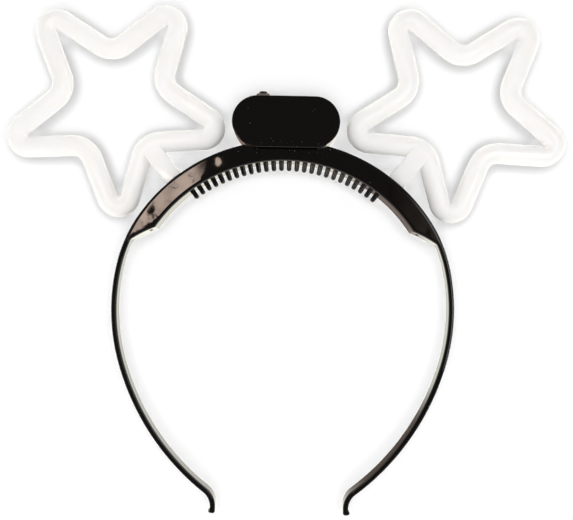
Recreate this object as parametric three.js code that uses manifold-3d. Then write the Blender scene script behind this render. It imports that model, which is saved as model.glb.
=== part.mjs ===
// Light-up headband lying on its back: crown and legs in one moulding, battery box, switch and star tubes.
// Millimetres. X runs from leg to leg, Y from the leg ends to the stars, Z up from the surface it lies on.
// Radii and angles are taken from the centre of the crown's arch, angles in degrees from straight up.
import * as THREE from 'three';
import { mergeVertices } from 'three/addons/utils/BufferGeometryUtils.js';
import Module from 'manifold-3d';

const wasm = await Module();
wasm.setup();

// Driving dimensions of the crown housing and the legs
const crownRadius = 74.7;
const crownThickness = 8.7;
const crownDepth = 14;
const crownCornerAngle = 56.1;
const crownEndAngle = 66.2;
const wall = 1.6;
const legThickness = 2.35;
const legDepth = 6.8;
const depthStep = { from: 64.6, to: 68 };
const shoulderRadius = 59.5;
const tipFlare = 0.55;
const frontEdge = 1.1;
const backEdge = 0.6;
const roundShare = 0.48;
const gap = 0.3;
const cutOver = 1;
const midDepth = crownDepth / 2;
const innerRadius = crownRadius - crownThickness;
const wallCut = 2 * (wall + cutOver);

// The band's outer edge as tangent arcs: each runs until its heading, and a negative radius curls outward
const bandArcs = [
  { stretch: 'crown', radius: crownRadius, until: crownCornerAngle, steps: 14 },
  { stretch: 'slanted end', radius: shoulderRadius, until: depthStep.from, steps: 3 },
  { stretch: 'foot of the slant', radius: shoulderRadius, until: crownEndAngle, steps: 2 },
  { stretch: 'rest of the step in depth', radius: shoulderRadius, until: depthStep.to, steps: 2 },
  { stretch: 'shoulder', radius: shoulderRadius, until: 77, steps: 3 },
  { stretch: 'upper leg', radius: 84.3, until: 105.7, steps: 8 },
  { stretch: 'lower leg', radius: 106.3, until: 142.3, steps: 11 },
  { stretch: 'curled end', radius: -7.4, until: 88, steps: 8 },
];

// Rounding of each leg's end: how far ahead a ring lies and how much it is drawn in
const tipRings = [
  { ahead: 1.6, inset: 0 },
  { ahead: 2.5, inset: 0.3 },
  { ahead: 3.1, inset: 0.9 },
];

// Comb inside the crown
const toothCount = 26;
const toothPitch = 2.948;
const toothWidth = 2.2;
const toothTipWidth = 1.9;
const toothLength = 3.8;
const toothDepth = 3.5;
const toothRoot = 0.8;

// Clip slot in each slanted end
const slotWidth = 1.2;
const slotDepth = 4;
const slotFromCorner = 2.2;

// Battery box
const boxLength = 45.4;
const boxWidth = 21.5;
const boxDepth = 18;
const boxCentreY = 82;
const boxSeam = 9;
const boxFrontEdge = 1.2;
const boxTop = boxCentreY + boxWidth / 2;

// Push switch in the top edge of the box
const switchX = -9.9;
const switchSize = 6.2;
const switchZ = 12.6;
const switchProud = 1.2;
const switchHeight = 6.1;
const switchChamfer = { across: 0.5, down: 1 };
const plungerRadius = 1.75;
const plungerProud = 1.3;
const plungerLength = 4.3;
const plungerRound = 0.4;
const switchTop = boxTop + switchProud;

// Star tubes and their posts
const starAngle = 39.4;
const starDistance = 116.65;
const starPoints = 5;
const starTipRadius = 55.5;
const starValleyRadius = 21.6;
const tubeRadius = 4.45;
const tubeSides = 12;
const tipBend = { radius: 5.05, steps: 6 };
const valleyBend = { radius: 8.9, steps: 4 };
const postWidth = 8;
const postDepth = 8.4;
const postFoot = 69.7;
const postHead = 92.4;

// Facets of the round stretches
const stadiumSteps = 8;
const sectorSteps = 18;
const toothTipSteps = 4;
const roundSides = 24;
const cornerTurns = [0, 45, 90];
const sameSpot = 0.01;

const rad = THREE.MathUtils.degToRad;

// Point at a radius and an angle from straight up
function polar(radius, angle, z = 0) {
  return new THREE.Vector3(radius * Math.sin(rad(angle)), radius * Math.cos(rad(angle)), z);
}

// Closed geometry to a solid that can be joined and cut, and back
function toSolid(geometry) {
  const bare = geometry.clone();
  bare.deleteAttribute('normal');
  bare.deleteAttribute('uv');
  const merged = mergeVertices(bare);
  const vertProperties = new Float32Array(merged.attributes.position.array);
  const triVerts = new Uint32Array(merged.index.array);
  return new wasm.Manifold(new wasm.Mesh({ numProp: 3, vertProperties, triVerts }));
}

function toGeometry(solid) {
  const { vertProperties, triVerts } = solid.getMesh();
  const geometry = new THREE.BufferGeometry();
  geometry.setAttribute('position', new THREE.BufferAttribute(new Float32Array(vertProperties), 3));
  geometry.setIndex(new THREE.BufferAttribute(new Uint32Array(triVerts), 1));
  geometry.computeVertexNormals();
  return geometry;
}

// Skin over a row of equal rings, each running right-handed about the direction of travel
function loft(rings, isLoop = false) {
  const sides = rings[0].length;
  const positions = rings.flat().flatMap((point) => point.toArray());
  const triangles = [];
  const spans = isLoop ? rings.length : rings.length - 1;
  for (let i = 0; i < spans; i++) {
    const here = i * sides;
    const next = ((i + 1) % rings.length) * sides;
    for (let j = 0; j < sides; j++) {
      const k = (j + 1) % sides;
      triangles.push(here + j, here + k, next + k, here + j, next + k, next + j);
    }
  }
  if (!isLoop) {
    const last = (rings.length - 1) * sides;
    for (let j = 1; j < sides - 1; j++) {
      triangles.push(0, j + 1, j, last, last + j, last + j + 1);
    }
  }
  const geometry = new THREE.BufferGeometry();
  geometry.setAttribute('position', new THREE.Float32BufferAttribute(positions, 3));
  geometry.setIndex(triangles);
  return toSolid(geometry);
}

function box(width, height, depth, x, y, z, turn = 0) {
  const geometry = new THREE.BoxGeometry(width, height, depth);
  geometry.rotateZ(rad(turn));
  geometry.translate(x, y, z);
  return toSolid(geometry);
}

// Flat outline extruded from one height to another
function plate(shape, zLow, zHigh, curveSegments) {
  const options = { depth: zHigh - zLow, bevelEnabled: false, curveSegments };
  const geometry = new THREE.ExtrudeGeometry(shape, options);
  geometry.translate(0, 0, zLow);
  return toSolid(geometry);
}

// Stations along the right half of the band's outer edge, from the top of the crown to the leg's end
function bandStations() {
  const stations = [{ point: polar(crownRadius, 0), heading: 0, turned: 0 }];
  for (const { radius, until, steps } of bandArcs) {
    const start = stations.at(-1);
    const centre = start.point.clone().sub(polar(radius, start.heading));
    for (let i = 1; i <= steps; i++) {
      const heading = THREE.MathUtils.lerp(start.heading, until, i / steps);
      const turned = Math.max(start.turned, heading);
      stations.push({ point: centre.clone().add(polar(radius, heading)), heading, turned });
    }
  }
  return stations;
}

// Rounded-rectangle ring across the band, from its outer edge round to the front, inside and back
function bandRing({ point, heading, thickness, depth, flare, inset }) {
  const out = polar(1, heading);
  const high = flare - inset;
  const low = inset - thickness;
  const front = Math.min(frontEdge, roundShare * (high - low));
  const back = Math.min(backEdge, front);
  const top = crownDepth - inset;
  const bottom = crownDepth - depth + inset;
  const corners = [
    { across: high - front, z: top - front, radius: front, from: 0 },
    { across: low + front, z: top - front, radius: front, from: 90 },
    { across: low + back, z: bottom + back, radius: back, from: 180 },
    { across: high - back, z: bottom + back, radius: back, from: 270 },
  ];
  return corners.flatMap(({ across, z, radius, from }) => cornerTurns.map((turn) => {
    const angle = rad(from + turn);
    const place = out.clone().multiplyScalar(across + radius * Math.cos(angle)).add(point);
    return place.setZ(z + radius * Math.sin(angle));
  }));
}

// The band's outer form: a deep crown, legs flush with its front, and rounded ends
function bandForm() {
  const { clamp, lerp, smoothstep } = THREE.MathUtils;
  const half = bandStations().map(({ point, heading, turned }) => {
    const slant = clamp((turned - crownCornerAngle) / (crownEndAngle - crownCornerAngle), 0, 1);
    return {
      point,
      heading,
      thickness: lerp(crownThickness, legThickness, slant),
      depth: lerp(crownDepth, legDepth, smoothstep(turned, depthStep.from, depthStep.to)),
      flare: 0,
      inset: 0,
    };
  });
  const tip = half.at(-1);
  for (const { ahead, inset } of tipRings) {
    const point = tip.point.clone().add(polar(ahead, tip.heading + 90));
    half.push({ ...tip, point, flare: tipFlare, inset });
  }
  const mirrored = (station) => ({
    ...station,
    point: new THREE.Vector3(-station.point.x, station.point.y, 0),
    heading: -station.heading,
  });
  const left = half.slice(1).reverse().map(mirrored);
  return loft([...left, ...half].map(bandRing));
}

// Line of the right slanted end: its corner, and the direction from there to the leg
function slantLine() {
  const corner = polar(innerRadius, crownCornerAngle);
  const shoulderCentre = polar(crownRadius - shoulderRadius, crownCornerAngle);
  const foot = polar(shoulderRadius - legThickness, crownEndAngle).add(shoulderCentre);
  return { corner, along: foot.sub(corner).normalize() };
}

// Sector of the crown's hollow between its walls, shrunk all round by a clearance
function hollowShape(clearance) {
  const inner = innerRadius + wall + clearance;
  const outer = crownRadius - legThickness - clearance;
  const { corner, along } = slantLine();
  const inward = new THREE.Vector3(-along.y, along.x, 0);
  const start = corner.addScaledVector(inward, wall + clearance);
  const middle = start.dot(along);
  // Angle at which the inside of the slanted end's wall crosses a radius
  const crossing = (radius) => {
    const run = Math.sqrt(middle ** 2 - start.lengthSq() + radius ** 2) - middle;
    const point = start.clone().addScaledVector(along, run);
    return Math.atan2(point.x, point.y);
  };
  const innerAngle = crossing(inner);
  const outerAngle = crossing(outer);
  const up = Math.PI / 2;
  const shape = new THREE.Shape();
  shape.absarc(0, 0, outer, up - outerAngle, up + outerAngle, false);
  shape.absarc(0, 0, inner, up + innerAngle, up - innerAngle, true);
  shape.closePath();
  return shape;
}

// Outline with straight sides and round ends, centred on the battery box
function stadiumPoints(inset, z) {
  const radius = boxWidth / 2 - inset;
  const shape = new THREE.Shape();
  const reach = (boxLength - boxWidth) / 2;
  shape.absarc(reach, boxCentreY, radius, -Math.PI / 2, Math.PI / 2, false);
  shape.absarc(-reach, boxCentreY, radius, Math.PI / 2, 3 * Math.PI / 2, false);
  const ring = shape.getPoints(stadiumSteps).map((point) => new THREE.Vector3(point.x, point.y, z));
  return ring.filter((point, i) => point.distanceTo(ring[(i + 1) % ring.length]) > sameSpot);
}

function stadium(levels) {
  return loft(levels.map(({ inset, z }) => stadiumPoints(inset, z)));
}

// Cutter that clears room for the battery box, from the back up past a height
function boxRecess(height) {
  return stadium([{ inset: -gap, z: -cutOver }, { inset: -gap, z: height + cutOver }]);
}

// One comb tooth, tapered to a round tip that points at the arch's centre
function tooth(angle) {
  const tipRadius = toothTipWidth / 2;
  const shape = new THREE.Shape();
  shape.moveTo(toothWidth / 2, toothRoot);
  shape.lineTo(-toothWidth / 2, toothRoot);
  shape.absarc(0, tipRadius - toothLength, tipRadius, Math.PI, 2 * Math.PI, false);
  shape.closePath();
  const blade = plate(shape, midDepth - toothDepth / 2, midDepth + toothDepth / 2, toothTipSteps);
  return blade.translate([0, innerRadius, 0]).rotate([0, 0, -angle]);
}

// Slot cutter through the slanted end wall
function clipSlot(side) {
  const { corner, along } = slantLine();
  const place = corner.addScaledVector(along, slotFromCorner);
  const turn = THREE.MathUtils.radToDeg(Math.atan2(along.y, along.x));
  return box(slotWidth, wallCut, slotDepth, side * place.x, place.y, midDepth, side * turn);
}

// Post or socket block that runs out from the crown along a star's radius
function postBlock(side, from, to, clearance) {
  const middle = polar((from + to) / 2, side * starAngle);
  const width = postWidth + 2 * clearance;
  const depth = postDepth + 2 * clearance;
  return box(width, to - from, depth, middle.x, middle.y, midDepth, -side * starAngle);
}

function bandSolid() {
  let solid = bandForm();
  solid = solid.subtract(plate(hollowShape(0), -cutOver, crownDepth - wall, sectorSteps));
  solid = solid.subtract(boxRecess(crownDepth));
  for (let i = 0; i < toothCount; i++) {
    solid = solid.add(tooth((i - (toothCount - 1) / 2) * toothPitch));
  }
  for (const side of [-1, 1]) {
    solid = solid.subtract(clipSlot(side));
    solid = solid.subtract(postBlock(side, postFoot, crownRadius + cutOver, gap));
  }
  return solid;
}

function crownBackSolid() {
  return plate(hollowShape(gap), 0, wall, sectorSteps).subtract(boxRecess(wall));
}

function batteryBaseSolid() {
  const outside = stadium([{ inset: backEdge, z: 0 }, { inset: 0, z: backEdge }, { inset: 0, z: boxSeam }]);
  return outside.subtract(stadium([{ inset: wall, z: wall }, { inset: wall, z: boxSeam + cutOver }]));
}

// Opening in the lid's top wall that the switch drops into from the seam
function switchOpening() {
  const low = boxSeam;
  const high = switchZ + switchSize / 2 + gap;
  return box(switchSize + 2 * gap, wallCut, high - low, switchX, boxTop, (low + high) / 2);
}

function batteryLidSolid() {
  const halfway = boxFrontEdge * (1 - Math.SQRT1_2);
  const outside = stadium([
    { inset: 0, z: boxSeam + gap },
    { inset: 0, z: boxDepth - boxFrontEdge },
    { inset: halfway, z: boxDepth - halfway },
    { inset: boxFrontEdge, z: boxDepth },
  ]);
  const inside = stadium([{ inset: wall, z: boxSeam }, { inset: wall, z: boxDepth - wall }]);
  return outside.subtract(inside).subtract(switchOpening());
}

// Square switch body with its two top corners bevelled and a bore for the plunger
function switchFrameSolid() {
  const half = switchSize / 2;
  const shape = new THREE.Shape([
    new THREE.Vector2(-half, switchTop - switchHeight),
    new THREE.Vector2(half, switchTop - switchHeight),
    new THREE.Vector2(half, switchTop - switchChamfer.down),
    new THREE.Vector2(half - switchChamfer.across, switchTop),
    new THREE.Vector2(switchChamfer.across - half, switchTop),
    new THREE.Vector2(-half, switchTop - switchChamfer.down),
  ]);
  const block = plate(shape, switchZ - half, switchZ + half).translate([switchX, 0, 0]);
  const boreFloor = switchTop + plungerProud - plungerLength - gap;
  const boreDepth = switchTop - boreFloor + cutOver;
  const bore = new THREE.CylinderGeometry(plungerRadius + gap, plungerRadius + gap, boreDepth, roundSides);
  bore.translate(switchX, boreFloor + boreDepth / 2, switchZ);
  return block.subtract(toSolid(bore));
}

// Round plunger with a softened top, modelled about its own axis
function plungerSolid() {
  const halfway = plungerRound * (1 - Math.SQRT1_2);
  const profile = [
    new THREE.Vector2(0, 0),
    new THREE.Vector2(plungerRadius, 0),
    new THREE.Vector2(plungerRadius, plungerLength - plungerRound),
    new THREE.Vector2(plungerRadius - halfway, plungerLength - halfway),
    new THREE.Vector2(plungerRadius - plungerRound, plungerLength),
    new THREE.Vector2(0, plungerLength),
  ];
  return toSolid(new THREE.LatheGeometry(profile, roundSides));
}

// Corners of the star's centreline about its middle, valleys and tips in turn
function starCorners() {
  const corners = [];
  for (let i = 0; i < 2 * starPoints; i++) {
    const isTip = i % 2 === 0;
    const turn = i * Math.PI / starPoints;
    const radius = isTip ? starTipRadius : starValleyRadius;
    const point = new THREE.Vector2(-radius * Math.sin(turn), radius * Math.cos(turn));
    corners.push({ point, bend: isTip ? tipBend : valleyBend });
  }
  return corners;
}

// Stations round the star: every corner becomes a bend between its two tangent points
function starStations() {
  const corners = starCorners();
  return corners.flatMap(({ point, bend }, i) => {
    const before = corners.at(i - 1).point;
    const after = corners[(i + 1) % corners.length].point;
    const arrive = point.clone().sub(before).normalize();
    const leave = after.clone().sub(point).normalize();
    const turn = Math.atan2(arrive.cross(leave), arrive.dot(leave));
    const side = Math.sign(turn);
    const setback = bend.radius * Math.tan(Math.abs(turn) / 2);
    const inward = new THREE.Vector2(-arrive.y, arrive.x).multiplyScalar(side * bend.radius);
    const centre = point.clone().addScaledVector(arrive, -setback).add(inward);
    return Array.from({ length: bend.steps + 1 }, (_, k) => {
      const angle = turn * k / bend.steps;
      const spoke = inward.clone().negate().rotateAround(new THREE.Vector2(), angle);
      return { point: centre.clone().add(spoke), out: spoke.multiplyScalar(side / bend.radius) };
    });
  });
}

function starTube() {
  const rings = starStations().map(({ point, out }) => Array.from({ length: tubeSides }, (_, k) => {
    const angle = 2 * Math.PI * (k + 0.5) / tubeSides;
    const across = point.clone().addScaledVector(out, tubeRadius * Math.cos(angle));
    return new THREE.Vector3(across.x, across.y, -tubeRadius * Math.sin(angle));
  }));
  return loft(rings, true);
}

// Star with one valley on its post, and the post's foot inside the crown
function starSolid(side) {
  const middle = polar(starDistance, side * starAngle, midDepth);
  const tube = starTube().rotate([0, 0, -side * starAngle]).translate(middle.toArray());
  const post = postBlock(side, postFoot, postHead, 0);
  return tube.add(post);
}

const blackGloss = new THREE.MeshStandardMaterial({ color: '#16140f', roughness: 0.12, metalness: 0 });
const blackMatte = new THREE.MeshStandardMaterial({ color: '#1c1a18', roughness: 0.45, metalness: 0 });
const tinPlate = new THREE.MeshStandardMaterial({ color: '#8d8178', roughness: 0.35, metalness: 1 });
const whiteTube = new THREE.MeshStandardMaterial({ color: '#f7f4f2', roughness: 0.3, metalness: 0 });

const headband = new THREE.Group();

function addPiece(name, solid, material) {
  const mesh = new THREE.Mesh(toGeometry(solid), material);
  mesh.name = name;
  headband.add(mesh);
  return mesh;
}

addPiece('band', bandSolid(), blackGloss);
addPiece('crown_back', crownBackSolid(), blackGloss);
addPiece('battery_base', batteryBaseSolid(), blackGloss);
addPiece('battery_lid', batteryLidSolid(), blackGloss);
addPiece('switch_frame', switchFrameSolid(), tinPlate);
const plunger = addPiece('switch_plunger', plungerSolid(), blackMatte);
plunger.position.set(switchX, switchTop + plungerProud - plungerLength, switchZ);
addPiece('star_left', starSolid(-1), whiteTube);
addPiece('star_right', starSolid(1), whiteTube);

// The origin is the middle of the headband's footprint, on the surface it lies on
const middle = new THREE.Box3().setFromObject(headband).getCenter(new THREE.Vector3());
headband.position.set(-middle.x, -middle.y, 0);

export default headband;
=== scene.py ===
"""Light-up headband: band with a comb, battery box, push switch and two star light tubes, on a floor."""

import math

import bmesh
import bpy
import numpy as np
from bpy.props import FloatProperty, FloatVectorProperty, IntProperty, PointerProperty
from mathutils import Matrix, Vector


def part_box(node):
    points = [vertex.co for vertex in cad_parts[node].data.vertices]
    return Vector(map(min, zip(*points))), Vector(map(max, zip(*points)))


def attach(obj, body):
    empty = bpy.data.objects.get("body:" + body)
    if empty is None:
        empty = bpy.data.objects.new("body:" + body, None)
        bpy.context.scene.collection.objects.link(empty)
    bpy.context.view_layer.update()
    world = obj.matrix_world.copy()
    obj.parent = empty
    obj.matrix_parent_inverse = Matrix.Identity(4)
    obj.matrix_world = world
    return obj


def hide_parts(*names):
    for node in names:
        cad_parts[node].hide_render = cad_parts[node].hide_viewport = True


bl_info = {
    "name": "Light-up headband",
    "version": (1, 0, 0),
    "blender": (4, 5, 0),
    "location": "3D View > Sidebar > Headband",
    "description": "Builds the dressed pieces of a light-up headband around its packed solids",
    "category": "Object",
}

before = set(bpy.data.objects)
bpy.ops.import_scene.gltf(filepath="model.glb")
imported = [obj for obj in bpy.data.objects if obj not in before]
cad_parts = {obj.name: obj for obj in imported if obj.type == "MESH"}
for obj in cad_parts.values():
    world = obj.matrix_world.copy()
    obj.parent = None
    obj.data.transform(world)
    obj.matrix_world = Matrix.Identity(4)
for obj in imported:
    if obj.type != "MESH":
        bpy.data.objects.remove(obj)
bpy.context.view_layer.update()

MM = 0.001
BODY = "headband"
PLUNGER_BODY = "plunger"

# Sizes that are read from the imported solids
BAND_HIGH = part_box("band")[1]
BASE_LOW, BASE_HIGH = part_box("battery_base")
LID_LOW, LID_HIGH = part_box("battery_lid")
SWITCH_LOW, SWITCH_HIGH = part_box("switch_frame")
PLUNGER_LOW, PLUNGER_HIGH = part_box("switch_plunger")
PLATE_LOW, PLATE_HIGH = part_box("crown_back")

# The crown's arch is centred below the battery box
BOX_TO_ARCH = 82.0 * MM
BOX_CENTRE_Y = (LID_LOW.y + LID_HIGH.y) / 2
ARCH_Y = BOX_CENTRE_Y - BOX_TO_ARCH

# Clearance between neighbouring pieces, run of a cutter past the face it cuts, and weld distance
GAP = 0.3 * MM
OVER = 1.0 * MM
WELD = 1e-7

# Edges that turn more than this stay crisp, and those that turn more than the second are bevelled
CRISP = math.radians(28)
SHARP = math.radians(40)

# A rounding that runs into a flat end stops this far round, so that the end keeps its own face
NEARLY_SQUARE = math.radians(84)

# Steps of a small round corner and of a box end, and sides of a turned form and of a light tube
CORNER_STEPS = 5
BOX_END_STEPS = 40
LATHE_SIDES = 48
TUBE_SIDES = 56


def hex_to_linear(code):
    """Turn an sRGB hex colour into linear RGBA."""
    channels = [int(code[i:i + 2], 16) / 255 for i in (1, 3, 5)]
    linear = [c / 12.92 if c <= 0.04045 else ((c + 0.055) / 1.055) ** 2.4 for c in channels]
    return (*linear, 1.0)


def length(name, description, value):
    """A length property, with its default in metres."""
    return FloatProperty(
        name=name, description=description, default=value, min=0.0, precision=5, unit="LENGTH")


def angle(name, description, degrees):
    """An angle property, with its default in degrees."""
    return FloatProperty(name=name, description=description, default=math.radians(degrees), subtype="ANGLE")


def colour(name, description, code):
    """A colour property, with its default as an sRGB hex value."""
    return FloatVectorProperty(
        name=name, description=description, default=hex_to_linear(code), size=4, min=0.0, max=1.0,
        subtype="COLOR")


def power(name, description, value, subtype="NONE"):
    """Power of a lamp or strength of a glow."""
    return FloatProperty(name=name, description=description, default=value, min=0.0, subtype=subtype)


class BandSizes(bpy.types.PropertyGroup):
    """Sizes of the moulded band."""

    crown_radius: length("Crown radius", "Outer radius of the crown's arch", 74.7 * MM)
    crown_thickness: length("Crown thickness", "Crown from its outer to its inner wall", 8.7 * MM)
    corner_angle: angle("Corner angle", "Where the crown's slanted end begins, from straight up", 56.1)
    end_angle: angle("End angle", "Where the slanted end meets the leg, from straight up", 66.2)
    wall: length("Wall", "Thickness of the moulded walls", 1.6 * MM)
    leg_thickness: length("Leg thickness", "Leg from its outer to its inner face", 2.35 * MM)
    leg_depth: length("Leg depth", "Leg from its front to its back", 6.8 * MM)
    outer_edge: length("Crown outer edge", "How far the crown's outer front edge is rounded across", 1.2 * MM)
    inner_edge: length("Crown inner edge", "How far the crown's inner front edge is rounded across", 1.3 * MM)
    outer_drop: length("Crown outer drop", "How far the crown's outer front edge is rounded down", 0.6 * MM)
    inner_drop: length("Crown inner drop", "How far the crown's inner front edge is rounded down", 1.0 * MM)
    leg_edge: length("Leg edge", "Rounding of the legs' front edges", 0.75 * MM)
    back_edge: length("Back edge", "Rounding of the back edges", 0.5 * MM)


class CombSizes(bpy.types.PropertyGroup):
    """Sizes of the comb inside the crown."""

    teeth: IntProperty(name="Teeth", description="How many teeth the comb has", default=26, min=2)
    pitch: angle("Pitch", "Angle from one tooth to the next", 2.948)
    width: length("Root width", "Width of a tooth at its root", 2.25 * MM)
    tip_width: length("Tip width", "Width of a tooth just before its round tip", 1.95 * MM)
    reach: length("Reach", "How far a tooth stands out of the wall", 3.8 * MM)
    depth: length("Depth", "Size of a tooth from front to back", 3.5 * MM)


class BoxSizes(bpy.types.PropertyGroup):
    """Sizes of the battery box."""

    wall: length("Wall", "Thickness of the box's walls", 1.6 * MM)
    lid_edge: length("Lid edge", "Rounding of the lid's front edge", 0.25 * MM)
    base_edge: length("Base edge", "Rounding of the base's back edge", 0.6 * MM)
    seam_edge: length("Seam edge", "Rounding of the two edges along the parting line", 0.12 * MM)


class SwitchSizes(bpy.types.PropertyGroup):
    """Sizes of the push switch."""

    sheet: length("Cover sheet", "Thickness of the metal cover", 0.35 * MM)
    bevel: length("Cover bevel", "How far the cover's bevel reaches in from its sides", 0.5 * MM)
    bevel_drop: length("Cover bevel drop", "How far the cover's bevel reaches down from its top", 1.0 * MM)
    skirt: length("Cover skirt", "How far the cover's sides reach down below the bevel", 3.2 * MM)
    corner: length("Cover corner", "Rounding of the cover's four corners", 0.35 * MM)
    stake: length("Stake radius", "Radius of the four plastic stake heads", 0.42 * MM)
    plunger_round: length("Plunger edge", "Rounding of the plunger's top edge", 0.45 * MM)


class StarSizes(bpy.types.PropertyGroup):
    """Sizes of the star tubes and their posts."""

    lean: angle("Lean", "Angle of each star from straight up, about the arch's centre", 39.4)
    distance: length("Distance", "From the arch's centre to a star's middle", 116.65 * MM)
    tip_radius: length("Tip radius", "From a star's middle to the tube's bend at a tip", 55.5 * MM)
    valley_radius: length("Valley radius", "From a star's middle to the tube's bend in a valley", 21.6 * MM)
    tube_radius: length("Tube radius", "Radius of the light tube", 4.45 * MM)
    tip_bend: length("Tip bend", "Radius of the tube's tip bends, along its middle", 5.05 * MM)
    valley_bend: length("Valley bend", "Radius of the tube's valley bends, along its middle", 8.9 * MM)
    post_width: length("Post width", "Width of the post seen from the front", 8.0 * MM)
    post_depth: length("Post depth", "Size of the post from front to back", 8.8 * MM)
    post_edge: length("Post edge", "Rounding of the post's long edges", 0.6 * MM)
    post_foot: length("Post foot", "Radius about the arch's centre where the post's foot ends", 69.7 * MM)
    post_head: length("Post head", "Radius about the arch's centre where the post's head ends", 92.5 * MM)


class Finishes(bpy.types.PropertyGroup):
    """Colours of the finishes."""

    black: colour("Black plastic", "Moulded gloss black of the band and the box", "#0e0c0b")
    dust: colour("Dust", "Specks of dust on the black", "#8d867f")
    milk: colour("Milky plastic", "White of the light tubes", "#f6f3f1")
    milk_shade: colour("Milky shade", "Slightly warmer white where the tube's wall is thicker", "#f4f1ee")
    tin: colour("Tinned steel", "Metal of the switch's cover", "#857a70")
    tin_shade: colour("Dull tin", "Dull spots on the switch's cover", "#5f564e")
    nylon: colour("Black nylon", "Switch plunger and body", "#0b0a0a")
    nylon_shade: colour("Nylon grain", "Lighter grain of the plunger and the body", "#171513")
    acrylic: colour("Floor", "White of the floor", "#c7c7c7")


class StageSettings(bpy.types.PropertyGroup):
    """Camera, floor and light."""

    camera_height: length("Camera height", "From the floor to the camera", 368.0 * MM)
    camera_shift: length("Camera offset", "How far the camera stands to the right of the middle", 1.26 * MM)
    camera_drop: length("Camera drop", "How far the camera stands below the middle", 0.14 * MM)
    camera_roll: angle("Camera roll", "Turn of the camera about its own line of sight", 1.06)
    lens: FloatProperty(
        name="Lens", description="Focal length", default=52.55, min=1.0, subtype="DISTANCE_CAMERA")
    softbox_light: power("Softbox light", "Power of the softbox overhead", 2.4, "POWER")
    fill_light: power("Fill light", "Power of the soft fill from the leg ends", 3.7, "POWER")
    table_light: power("Table light", "Glow of the open floor", 0.48)
    # Painted shade on the floor: its glow thins beside the pieces, is lifted a little in deep shade, and is
    # made lighter near the crown
    painted_shade_glow: power("Beside light", "Glow of the floor beside a piece", 0.2)
    painted_shade_lift: power("Shade light", "Glow added in deep shade", 0.4)
    painted_crown_lift: power("Crown light", "How many times lighter the shade is near the crown", 1.7)
    painted_shade_reach: length("Shade reach", "How far from a piece the floor counts as shaded", 7.0 * MM)
    band_light: power("Band light", "Strength of the bright band low down", 1.2)
    top_light: power("Top light", "Strength seen straight above", 0.05)
    sheet_light: power("Sheet light", "Strength of the floor seen in the gloss", 1.7)
    card_light: power("Card light", "Strength of the warm card", 9.5)
    dim_light: power("Dim card light", "Strength of the dim card", 0.45)
    panel_light: power("Panel light", "Strength of the side panel", 5.5)
    sheet: colour("Sheet", "Colour of the floor seen in the gloss", "#fdfbee")
    card: colour("Warm card", "Colour of the cards that show in the crown", "#f4dac9")


class HeadbandSettings(bpy.types.PropertyGroup):
    """All the settings of the headband."""

    band: PointerProperty(type=BandSizes)
    comb: PointerProperty(type=CombSizes)
    box: PointerProperty(type=BoxSizes)
    switch: PointerProperty(type=SwitchSizes)
    star: PointerProperty(type=StarSizes)
    finish: PointerProperty(type=Finishes)
    stage: PointerProperty(type=StageSettings)


# Node trees

def set_sockets(tree, node, values):
    """Give each named socket of a node a value or a link."""
    for key, value in values.items():
        if isinstance(value, bpy.types.NodeSocket):
            tree.links.new(value, node.inputs[key])
        else:
            node.inputs[key].default_value = value


def add_node(tree, kind, settings=None, inputs=None):
    """Add a node with its settings and the values or links of its sockets."""
    node = tree.nodes.new(kind)
    for key, value in (settings or {}).items():
        setattr(node, key, value)
    set_sockets(tree, node, inputs or {})
    return node


def result(tree, kind, settings=None, inputs=None):
    """Add a node and return its first output."""
    return add_node(tree, kind, settings, inputs).outputs[0]


def maths(tree, operation, *values):
    """Result of a maths node."""
    return result(tree, "ShaderNodeMath", {"operation": operation}, dict(enumerate(values)))


def vector_maths(tree, operation, *values, **named):
    """Result of a vector maths node: a number for a length or a distance, and else a vector."""
    inputs = {**dict(enumerate(values)), **named}
    node = add_node(tree, "ShaderNodeVectorMath", {"operation": operation}, inputs)
    return node.outputs["Value" if operation in ("LENGTH", "DISTANCE") else "Vector"]


def map_range(tree, value, given, wanted, curve="LINEAR"):
    """A value carried from the given range to the wanted one, and held at both ends."""
    return result(tree, "ShaderNodeMapRange", {"interpolation_type": curve}, {
        "Value": value, "From Min": given[0], "From Max": given[1], "To Min": wanted[0], "To Max": wanted[1]})


def combine_xyz(tree, **parts):
    """A vector from its parts, zero where none is given."""
    return result(tree, "ShaderNodeCombineXYZ", inputs=parts)


def new_geometry_tree(name, inputs):
    """Start a geometry tree with named inputs, and return it with their sockets."""
    tree = bpy.data.node_groups.new(name, "GeometryNodeTree")
    tree.interface.new_socket("Geometry", in_out="OUTPUT", socket_type="NodeSocketGeometry")
    for kind, labels in inputs.items():
        for label in labels:
            tree.interface.new_socket(label, in_out="INPUT", socket_type=f"NodeSocket{kind}")
    return tree, tree.nodes.new("NodeGroupInput").outputs


def rounded_rectangle(tree, width, height, radius):
    """Curve of a rectangle with round corners."""
    sharp = result(tree, "GeometryNodeCurvePrimitiveQuadrilateral", inputs={"Width": width, "Height": height})
    return result(tree, "GeometryNodeFilletCurve", {"mode": "POLY"}, {
        "Curve": sharp, "Count": CORNER_STEPS, "Radius": radius})


def upright_curve(tree, curve):
    """A curve whose sections stand upright."""
    return result(tree, "GeometryNodeSetCurveNormal", {"mode": "Z_UP"}, {"Curve": curve})


def moved(tree, geometry, turn, place):
    """Geometry turned by Euler angles and put in its place."""
    rotation = result(tree, "FunctionNodeEulerToRotation", inputs={"Euler": turn})
    return result(tree, "GeometryNodeTransform", inputs={
        "Geometry": geometry, "Translation": place, "Rotation": rotation})


def close_geometry_tree(tree, geometry, material):
    """End a geometry tree: realize instances, smooth, set the material, output."""
    real = result(tree, "GeometryNodeRealizeInstances", inputs={"Geometry": geometry})
    smooth = result(tree, "GeometryNodeSetShadeSmooth", inputs={"Geometry": real})
    done = result(tree, "GeometryNodeSetMaterial", inputs={"Geometry": smooth, "Material": material})
    add_node(tree, "NodeGroupOutput", inputs={0: done})


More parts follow.
